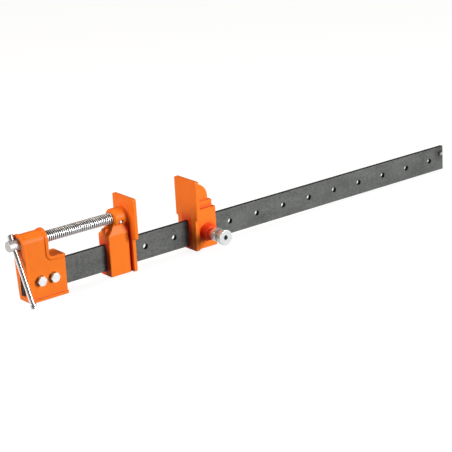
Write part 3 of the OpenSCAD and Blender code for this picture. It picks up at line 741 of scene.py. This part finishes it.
class ClampBar(bpy.types.Operator):
    """Rolled flat bar with rounded edges and punched holes"""

    bl_idname = "clamp.bar"
    bl_label = "Bar"

    INDEX_HOLES = 12
    HOLES_BEFORE_PIN = 2  # between the head and the hole at which the tail jaw stands
    BOLT_PLAY, STOP_PLAY = 0.15, 0.03  # gaps round the bolts and the stop pin
    LENGTH_STEPS, EDGE_STEPS, HOLE_SIDES = 24, 4, 48

    def execute(self, context):
        sizes = context.scene.clamp_sizes
        bm = bmesh.new()
        rim = self.rim(bm, sizes.bar_edge / MM)
        loops = {-1: [rim[0]], 1: [rim[-1]]}
        for hole in self.holes(sizes):
            wall = self.wall(bm, sizes.hole_edge / MM, *hole)
            loops[-1].append(wall[0])
            loops[1].append(wall[-1])
        for side, rows in loops.items():
            edges = [bm.edges.get(pair) for row in rows for pair in zip(row, row[1:] + row[:1])]
            bmesh.ops.triangle_fill(bm, edges=edges, use_beauty=True, use_dissolve=False,
                                    normal=(0, side, 0))
        dress(even_normals(skin("flat_bar", bm)), "frame", "bar_steel", "Mill scale", "bar")
        return {"FINISHED"}

    def holes(self, sizes):
        """Place, height and radius of each hole."""
        height = (low("bar").z + high("bar").z) / 2
        pitch = sizes.hole_pitch / MM
        first = middle("index_pin").x - self.HOLES_BEFORE_PIN * pitch
        index_r = sizes.hole_d / MM / 2
        bolt_r = sizes.bolt_d / MM / 2 + self.BOLT_PLAY
        stop = middle("bar_stop_pin")
        stop_r = high("bar_stop_pin").x - stop.x + self.STOP_PLAY
        index = [(first + i * pitch, height, index_r) for i in range(self.INDEX_HOLES)]
        bolts = [(middle(washer).x, height, bolt_r)
                 for washer in ("head_washer_left", "head_washer_right")]
        return index + bolts + [(stop.x, stop.z, stop_r)]

    def rim(self, bm, edge):
        """The bar's ends and long edges, rounded where they meet its two broad faces."""
        lo, hi = low("bar"), high("bar")
        xs = [lo.x + (hi.x - lo.x) * k / self.LENGTH_STEPS for k in range(self.LENGTH_STEPS + 1)]
        outline = [(x, lo.z) for x in xs] + [(x, hi.z) for x in reversed(xs)]
        near = []
        for k in range(self.EDGE_STEPS + 1):
            turn = k * math.pi / 2 / self.EDGE_STEPS
            inward = edge * (1 - math.sin(turn))
            y = edge * (1 - math.cos(turn)) - hi.y
            near.append([(min(max(x, lo.x + inward), hi.x - inward), y,
                          min(max(z, lo.z + inward), hi.z - inward)) for x, z in outline])
        far = [[(x, -y, z) for x, y, z in row] for row in reversed(near)]
        return bridge(bm, near + far)

    def wall(self, bm, bevel, x, z, r):
        """The wall of a hole, with a bevel at each mouth."""
        half = high("bar").y
        steps = [(r + bevel, -half), (r, bevel - half), (r, half - bevel), (r + bevel, half)]
        return bridge(bm, [[(x + size * math.cos(a), y, z + size * math.sin(a))
                            for a in circle(self.HOLE_SIDES)] for size, y in steps])


# Bolts, washers and nuts


def hex_form(bm, width, place, top, bottom, bore=0.0, both=False):
    """Hexagon along Y at place, its corners turned off at top, and at bottom as well if both."""
    half = width / 2
    trim = half * 0.965
    slope = math.tan(math.radians(28))
    way = 1 if bottom > top else -1
    corners = []
    for a in circle(72):
        reach = half / math.cos(a % (math.pi / 3) - math.pi / 6)
        corners.append((a, reach, max(0.0, reach - trim) * slope))

    def round_ring(r, level):
        return [about_y(place, r, a, level) for a, _, _ in corners]

    def hex_ring(level, sign):
        return [about_y(place, r, a, level + sign * fall) for a, r, fall in corners]

    rows = [round_ring(bore, top), round_ring(trim, top), hex_ring(top, way)]
    rows += [hex_ring(bottom, -way), round_ring(trim, bottom)] if both else [hex_ring(bottom, 0)]
    rows.append(round_ring(bore, bottom))
    if bore:
        rows.append(rows[0])
    bridge(bm, rows)


class ClampBolts(bpy.types.Operator):
    """Hex bolts with split washers and nuts, through the head and the bar"""

    bl_idname = "clamp.bolts"
    bl_label = "Bolts"

    HEX_CREASE = 25.0
    NUT_PLAY, WASHER_PLAY = 0.05, 0.2  # gaps round the shank
    GAP, SLANT = math.radians(6), 0.12  # half the washer's gap, and its lean
    PITCH, DEPTH, THREADED, TIP = 1.41, 0.55, 11.0, 0.8  # of the thread; TIP is its plain end

    def execute(self, context):
        sizes = context.scene.clamp_sizes
        width, d = sizes.hex_width / MM, sizes.bolt_d / MM
        for side in ("left", "right"):
            bolt, washer, nut = (f"head_{kind}_{side}" for kind in ("bolt", "washer", "nut"))
            seat = -low(washer).y
            bm = bmesh.new()
            hex_form(bm, width, middle(bolt), low(bolt).y, seat)
            self.shank(bm, d / 2, middle(bolt), seat - 1.0, high(bolt).y)
            self.plate(f"hex_bolt_{side}", bm, bolt)
            bm = bmesh.new()
            hex_form(bm, width, middle(nut), high(nut).y, low(nut).y, d / 2 + self.NUT_PLAY, True)
            self.plate(f"hex_nut_{side}", bm, nut)
            lo, hi, place = low(washer), high(washer), middle(washer)
            made = split_ring(f"split_washer_{side}", place,
                              (d / 2 + self.WASHER_PLAY, hi.z - place.z), (lo.y, hi.y), 0.3,
                              0.0, lambda r: self.GAP, self.SLANT)
            dress(made, "frame", "zinc", "Zinc plate", washer)
        return {"FINISHED"}

    def plate(self, name, bm, node):
        """A hex piece from bm, in zinc."""
        made = even_normals(skin(name, bm, self.HEX_CREASE))
        dress(made, "frame", "zinc", "Zinc plate", node)

    def shank(self, bm, r, place, start, end):
        """Bolt shank along Y with a rolled thread over its last stretch."""
        turns = circle(36)
        thread_from = end - self.THREADED
        core = r - self.DEPTH
        line = [([size] * len(turns), y)
                for size, y in ((0.0, start), (r, start), (r, thread_from))]
        for j in range(4 * int((self.THREADED - self.TIP) / self.PITCH)):
            y = thread_from + j * self.PITCH / 4
            phases = [(y / self.PITCH - a / math.tau) % 1.0 for a in turns]
            line.append(([r - self.DEPTH * (1 - abs(2 * phase - 1)) for phase in phases],
                         y + 0.01))
        line += [([size] * len(turns), y)
                 for size, y in ((core, end - 0.7), (core - 0.5, end), (0.0, end))]
        bridge(bm, [[about_y(place, size, a, y) for size, a in zip(sizes, turns)]
                    for sizes, y in line])


# Screw and tommy bar


def tommy_axis():
    """Direction of the tommy bar, upwards along its rod."""
    for joint in frame["record"]["behaviour"]["joints"]:
        if joint["name"] == "tommy_slide":
            return Vector(joint["axis"]).normalized()
    raise RuntimeError("the record has no joint named tommy_slide")


class ClampScrew(bpy.types.Operator):
    """Clamp screw: drilled plain head, right-hand trapezoid thread and the end in the jaw"""

    bl_idname = "clamp.screw"
    bl_label = "Screw"

    HEAD_R, CONE = 7.25, 0.7  # radius of the head, and the run from it to the thread
    CORE_DEPTH, OVERLAP = 1.7, 2.0  # the core under the thread, and the tail's reach into it
    DRILL_R, DRILL_REACH = 3.62, 20.0  # hole for the tommy bar, drilled right through
    GROOVE_R, GROOVE = 3.2, 5.1  # radius and width of the groove for the cross pin
    FLANK, CREST, EASE = math.radians(14.5), 0.3707, 0.16  # of the thread's profile
    RUN_OUT, FALL = 0.8, 0.69  # pitches over which the thread fades, and its fall there

    def execute(self, context):
        lo, hi = low("spindle"), high("spindle")
        level = middle("spindle").z
        radius = hi.y
        core = radius - self.CORE_DEPTH
        start = Vector((0, 0, level))
        head_end = lo.x + SCREW_HEAD
        blank = turned("screw_blank", [
            (0, lo.x, 0), (self.HEAD_R, lo.x, 1.1), (self.HEAD_R, head_end, 0.3),
            (core, head_end + 0.3, 0), (core, head_end + 2.5, 0), (0, head_end + 2.5, 0)],
            start, AXIS_X)
        hole = middle("tommy_bar")
        hole.y, hole.z = 0.0, level
        reach = self.DRILL_REACH
        cut_with(blank, turned("screw_drill", [
            (0, -reach, 0), (self.DRILL_R, -reach, 0), (self.DRILL_R, reach, 0), (0, reach, 0)],
            hole, tommy_axis(), 48))
        soften(blank, 0.35)
        thread_end = middle("cross_pin").x - self.GROOVE / 2
        groove_end = thread_end + self.GROOVE
        thread = self.thread(level, radius, head_end + self.CONE, thread_end,
                             context.scene.clamp_sizes)
        tail = turned("screw_tail", [
            (0, thread_end - self.OVERLAP, 0), (core, thread_end - self.OVERLAP, 0),
            (self.GROOVE_R, thread_end, 0), (self.GROOVE_R, groove_end, 0),
            (radius, groove_end, 0.3), (radius, hi.x, 1.0), (0, hi.x, 0)], start, AXIS_X)
        dress(join("clamp_screw", [blank, thread, tail]), "screw", "screw_steel",
              "Rolled thread", "spindle")
        return {"FINISHED"}

    def thread(self, level, radius, start, end, sizes):
        """Helical skin between two places along X.

        Each angle has the same profile, shifted along by that angle's share of a turn.
        """
        pitch, depth = sizes.thread_pitch / MM, sizes.thread_depth / MM
        sides = 40
        flank = depth * math.tan(self.FLANK)
        crest = pitch * self.CREST
        root = pitch - crest - 2 * flank
        profile = [(0.0, self.EASE * 0.6), (self.EASE, 0.0), (crest - self.EASE, 0.0),
                   (crest, self.EASE * 0.6), (crest + flank, depth),
                   (crest + flank + root * 0.5, depth), (crest + flank + root, depth)]
        turns = int((end - start) / pitch) + 3
        run_out = self.RUN_OUT * pitch
        columns = []
        for k in range(sides + 1):
            a = math.tau * k / sides
            column = []
            for i in range(turns):
                for along, deep in profile:
                    x = start + (i - 1.5 + k / sides) * pitch + along
                    fade = min(max((x - start) / run_out, 0.0), 1.0)
                    fade = min(fade, min(max((end - x) / run_out, 0.0), 1.0))
                    fall = self.FALL * (1 - fade)
                    r = radius - fall - (depth - fall) * deep / depth
                    x = min(max(x, start), end)
                    column.append((x, r * math.cos(a), level + r * math.sin(a)))
            columns.append(column)
        bm = bmesh.new()
        bridge(bm, columns, around=False)
        bmesh.ops.dissolve_degenerate(bm, dist=1e-3, edges=bm.edges)
        return skin("screw_thread", bm, 50.0)


class ClampTommyBar(bpy.types.Operator):
    """Tommy bar with its two pressed-on caps"""

    bl_idname = "clamp.tommy_bar"
    bl_label = "Tommy bar"

    HALF, ROD_R = 50.2, 3.5  # half length and radius of the rod
    CAP_R, CAP_L, CAP_END, CAP_PLAY = 4.75, 7.5, 2.0, 0.03  # CAP_END is the cap's closed end

    def execute(self, context):
        axis = tommy_axis()
        rod = middle("tommy_bar")
        half, rod_r = self.HALF, self.ROD_R
        made = turned("tommy_rod", [
            (0, -half, 0), (rod_r, -half, 0.5), (rod_r, half, 0.5), (0, half, 0)],
            rod, axis, 48)
        dress(made, "tommy", "bright_steel", "Drawn rod", "tommy_bar")
        end, floor = half + self.CAP_END, half + self.CAP_PLAY
        outer, inner = self.CAP_R, rod_r + self.CAP_PLAY
        mouth = end - self.CAP_L
        for node, way in (("tommy_cap_upper", 1), ("tommy_cap_lower", -1)):
            made = turned(f"{node}_shell", [
                (0, end, 0), (outer - 0.4, end, 0), (outer, end - 0.9, 0.9), (outer, mouth, 0.5),
                (inner, mouth, 0.25), (inner, floor, 0), (0, floor, 0)], rod, axis * way, 48)
            dress(made, "tommy", "bright_steel", "Drawn rod", node)
        return {"FINISHED"}


# Pins


class ClampPins(bpy.types.Operator):
    """Stop pin in the bar's end and cross pin in the moving jaw"""

    bl_idname = "clamp.pins"
    bl_label = "Pins"

    def execute(self, context):
        for node, name, body, chamfer, surface in (
                ("bar_stop_pin", "stop_pin", "frame", 1.0, "Dull pin"),
                ("cross_pin", "jaw_cross_pin", "moving_jaw_body", 0.6, "Grey pin")):
            place = middle(node)
            half = high(node).y
            r = high(node).x - place.x
            tip = r - chamfer * 0.6
            place.y = 0
            made = turned(name, [
                (0, -half, 0), (tip, -half, 0.2), (r, -half + chamfer, 0.6),
                (r, half - chamfer, 0.6), (tip, half, 0.2), (0, half, 0)],
                place, TOWARDS_KNOB, 40)
            dress(made, body, "bright_steel", surface, node)
        return {"FINISHED"}


# Plunger


class ClampPlunger(bpy.types.Operator):
    """Pull knob with a hollow rear, the clip and the coil, and the pin's and bush's finishes"""

    bl_idname = "clamp.plunger"
    bl_label = "Plunger"

    RIM_IN, RIM_OUT, RIM_L = 8.4, 10.0, 7.1  # hollow rim that laps over the boss's spigot
    WAIST_R, HOLE_R = 8.3, 3.05
    CLIP_R, HALF_OPENING, CLEAR = 3.08, 2.0, 0.15  # clip in its groove, and its own clearance
    TURNS, TURN_STEPS, WIRE_SIDES = 7.5, 36, 12  # of the coil

    def execute(self, context):
        place = middle("plunger_knob")
        rear, face = -high("plunger_knob").y, -low("plunger_knob").y
        place.y = 0
        flange_r = high("plunger_knob").x - place.x
        floor = rear + self.RIM_L
        made = turned("pull_knob", [
            (self.RIM_IN, rear, 0.3), (self.RIM_OUT, rear, 1.2),
            (self.RIM_OUT, floor + 1.4, 1.3), (self.WAIST_R, floor + 2.6, 0.9),
            (self.WAIST_R, face - 10.2, 1.4), (flange_r, face - 6.9, 1.1),
            (flange_r, face, 0.9), (self.HOLE_R + 0.7, face, 0.25),
            (self.HOLE_R, face - 0.8, 0.1), (self.HOLE_R, floor, 0),
            (self.RIM_IN, floor, 0.4)], place, TOWARDS_KNOB, 96, hollow=True)
        dress(made, "plunger", "nickel_knob", "Knob plate", "plunger_knob")
        coat("index_pin", "Blackened pin")
        coat("plunger_bush", "Turned pin")
        dress(self.clip(), "plunger", "spring_steel", "Spring steel", "pin_clip")
        self.coil(context.scene.clamp_sizes.spring_wire / MM / 2)
        return {"FINISHED"}

    def clip(self):
        """Open clip in the pin's groove, small enough to clear the cast chamber's corner."""
        lo, hi, place = low("pin_clip"), high("pin_clip"), middle("pin_clip")
        place.z = middle("bar").z
        return split_ring("snap_clip", place, (self.CLIP_R, hi.x - place.x - self.CLEAR),
                          (lo.y, hi.y - 1.4 * self.CLEAR), 0.35, -math.pi / 2,
                          lambda r: math.asin(self.HALF_OPENING / r))

    def coil(self, wire):
        """Compression spring with closed ends, from its wire's radius, between bush and clip."""
        lo, hi, place = low("plunger_spring"), high("plunger_spring"), middle("plunger_spring")
        across = hi.x - place.x - wire
        closed = 2 * wire
        open_turns = self.TURNS - 2
        pitch = (hi.y - lo.y - 3 * closed) / open_turns
        rows = []
        for k in range(int(self.TURNS * self.TURN_STEPS) + 1):
            turn = k / self.TURN_STEPS
            rise = (min(turn, 1) * closed + min(max(turn - 1, 0), open_turns) * pitch
                    + max(turn - self.TURNS + 1, 0) * closed)
            a = math.tau * turn
            ring = [(across + wire * math.cos(b), lo.y + wire + rise + wire * math.sin(b))
                    for b in circle(self.WIRE_SIDES)]
            rows.append([about_y(place, r, a, y) for r, y in ring])
        bm = bmesh.new()
        cap_ends(bm, bridge(bm, rows))
        spring = skin("plunger_coil", bm, 60.0)
        spring.data.materials.append(finish("Spring steel"))
        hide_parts("plunger_spring")
        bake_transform(spring)


# Studio

WHITE = (1, 1, 1, 1)
STUDIO_MIDDLE = Vector((0.2, 0, 0.03))  # where the lights point, in metres
VIEW_MIDDLE = Vector((319.25, 0, 28.55))  # what the camera looks at, in millimetres
VIEW_SHIFT = (-2.216, -7.476)  # from there to the picture's middle, across and up


class ClampStage(bpy.types.Operator):
    """Pale floor, soft lights and the camera"""

    bl_idname = "clamp.stage"
    bl_label = "Stage"

    def execute(self, context):
        studio = context.scene.clamp_studio
        self.floor(studio)
        self.backdrop()
        self.lights(studio)
        self.camera(studio)
        context.scene.view_settings.view_transform = "Standard"
        return {"FINISHED"}

    @staticmethod
    def floor(studio):
        """Floor under the foot's front edge and the bar's far end, on which the clamp leans."""
        foot, far = high("head_casting").x * MM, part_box("bar")
        lean = math.atan2(far[0].z, far[1].x - foot)
        bm = bmesh.new()
        bmesh.ops.create_grid(bm, x_segments=8, y_segments=8, size=6.0)
        floor = put("floor", mesh_from("floor", bm))
        floor.matrix_world = (Matrix.Translation((foot, 0, 0)) @ Matrix.Rotation(-lean, 4, "Y")
                              @ Matrix.Translation((0.3, 0, -0.3 * MM)))
        floor.visible_diffuse = False
        made = Finish("Pale floor", Roughness=0.9, Specular_IOR_Level=0.0,
                      Emission_Strength=0.88, Emission_Color=WHITE)
        tone = made.tint(studio.floor_tone, 0.995 + made.noise(9.0, 3.0) * 0.01)
        floor.data.materials.append(made.feed(Base_Color=tone))

    @staticmethod
    def backdrop():
        """White cove all round, seen by the camera alone, for a plain background in low views."""
        bm = bmesh.new()  # in metres, like the profile: radius, height and rounding
        line = rounded([(7.0, -1.5, 0), (9.0, -1.5, 1.5), (9.0, 8.0, 5.0), (0.0, 10.0, 0)], 8)
        turn_about(bm, line, Vector((0.3, 0, 0)), AXIS_Z, 48)
        cove = put("backdrop", mesh_from("backdrop", bm))
        cove.data.shade_smooth()
        made = Finish("White cove", Roughness=1.0, Specular_IOR_Level=0.0,
                      Emission_Strength=1.0, Emission_Color=WHITE)
        tone = made.tint((0.2, 0.2, 0.2), 0.98 + made.noise(2.0) * 0.04)
        cove.data.materials.append(made.feed(Base_Color=tone))
        for kind in ("diffuse", "glossy", "transmission", "shadow"):
            setattr(cove, f"visible_{kind}", False)

    @staticmethod
    def lights(studio):
        """Three soft boxes and an even surround."""
        world = bpy.data.worlds.new("Studio surround")
        bpy.context.scene.world = world
        world.use_nodes = True
        surround = world.node_tree.nodes["Background"].inputs
        surround["Color"].default_value = (*studio.surround, 1)
        surround["Strength"].default_value = studio.surround_level
        for name, place, size, watts, tone in (  # place and size in metres
                ("Key light", (1.55, -2.4, 0.65), (1.3, 1.2), studio.key_power, (1, 1, 0.97)),
                ("Side light", (-2.2, 0.5, 1.35), (1.2, 1.0), studio.side_power,
                 (1, 0.86, 0.72)),
                ("Top light", (0.2, 0.3, 2.1), (1.4, 0.9), studio.top_power, (1, 1, 1))):
            lamp = bpy.data.lights.new(name, "AREA")
            lamp.shape = "RECTANGLE"
            lamp.size, lamp.size_y = size
            lamp.energy = watts
            lamp.color = tone
            held = put(name, lamp)
            held.location = place
            towards = STUDIO_MIDDLE - Vector(place)
            held.rotation_euler = towards.to_track_quat("-Z", "Y").to_euler()

    @staticmethod
    def camera(studio):
        """Camera that looks past the middle of the bar from the knob's side."""
        az, el, roll = studio.azimuth, studio.elevation, studio.roll
        look = Vector((math.sin(az) * math.cos(el), math.cos(az) * math.cos(el),
                       -math.sin(el)))
        side = look.cross(AXIS_Z).normalized()
        over = side.cross(look)
        across = side * math.cos(roll) + over * math.sin(roll)
        upward = over * math.cos(roll) - side * math.sin(roll)
        shift_x, shift_y = VIEW_SHIFT
        aim = VIEW_MIDDLE * MM + across * shift_x * MM + upward * shift_y * MM
        camera = put("Camera", bpy.data.cameras.new("Camera"))
        stand = Matrix((across, upward, -look)).transposed().to_4x4()
        stand.translation = aim - look * studio.distance
        camera.matrix_world = stand
        camera.data.sensor_width = 36
        camera.data.lens = studio.focal / MM
        camera.data.clip_end = 50
        bpy.context.scene.camera = camera


# Panel and main

GROUPS = (("clamp_sizes", ClampSizes), ("clamp_colours", ClampColours),
          ("clamp_studio", ClampStudio))
MAKERS = (ClampCastings, ClampBar, ClampBolts, ClampScrew, ClampTommyBar, ClampPins,
          ClampPlunger, ClampStage)


class ClampPanel(bpy.types.Panel):
    """Sizes, colours and makers of the bar clamp"""

    bl_idname = "VIEW3D_PT_bar_clamp"
    bl_label = "Bar clamp"
    bl_space_type = "VIEW_3D"
    bl_region_type = "UI"
    bl_category = "Bar clamp"

    def draw(self, context):
        for name, group in GROUPS:
            box = self.layout.box()
            for key in group.__annotations__:
                box.prop(getattr(context.scene, name), key)
        for maker in MAKERS:
            self.layout.operator(maker.bl_idname)


CLASSES = (*(group for _, group in GROUPS), *MAKERS, ClampPanel)


def register():
    for cls in CLASSES:
        bpy.utils.register_class(cls)
    for name, group in GROUPS:
        setattr(bpy.types.Scene, name, PointerProperty(type=group))


def unregister():
    for name, _ in GROUPS:
        delattr(bpy.types.Scene, name)
    for cls in reversed(CLASSES):
        bpy.utils.unregister_class(cls)


def main():
    """Makes the whole visual model."""
    register()
    bpy.ops.clamp.castings()
    bpy.ops.clamp.bar()
    bpy.ops.clamp.bolts()
    bpy.ops.clamp.screw()
    bpy.ops.clamp.tommy_bar()
    bpy.ops.clamp.pins()
    bpy.ops.clamp.plunger()
    bpy.ops.clamp.stage()


if __name__ == "__main__":
    main()
